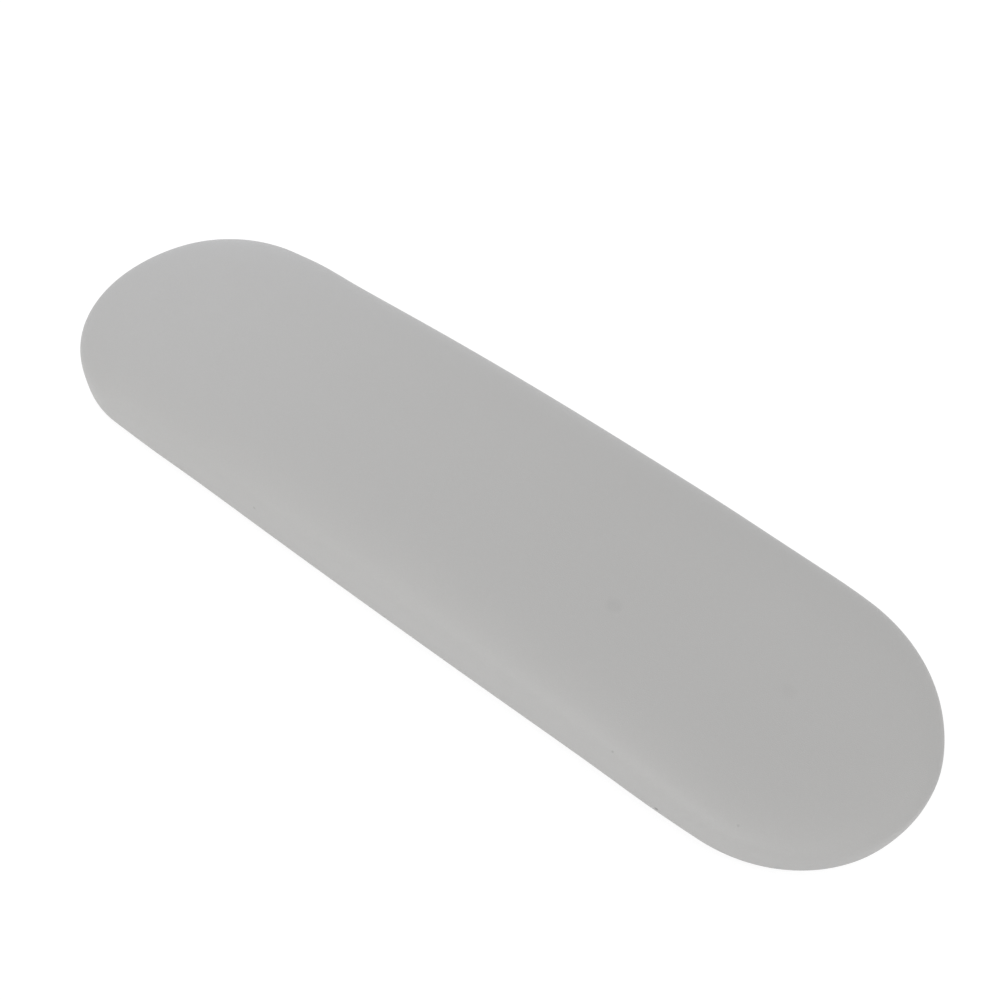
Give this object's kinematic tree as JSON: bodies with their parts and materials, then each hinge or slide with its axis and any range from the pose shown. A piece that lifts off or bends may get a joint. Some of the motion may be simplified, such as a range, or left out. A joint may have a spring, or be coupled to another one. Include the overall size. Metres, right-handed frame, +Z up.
{
  "type": "manicure hand rest",
  "caption": "Long round-ended upholstered pad with a softly domed top, for resting the hand and wrist during a manicure, in smooth matte light grey.",
  "frame": {"origin": "middle of the flat underside, on the surface the pad lies on", "axes": "+X along the pad, +Y across it, +Z up through the domed top"},
  "size_m": [0.4, 0.1134, 0.0333],
  "materials": {
    "cover_leather": "smooth matte synthetic leather, light warm grey",
    "foam": "open-cell polyurethane foam, off-white",
    "board": "plain fibreboard",
    "non_slip": "matte black non-slip sheet"
  },
  "bodies": {
    "root": {"cover": "cover_leather", "foam_cushion": "foam", "base_board": "board", "non_slip_sheet": "non_slip"}
  },
  "joints": []
}
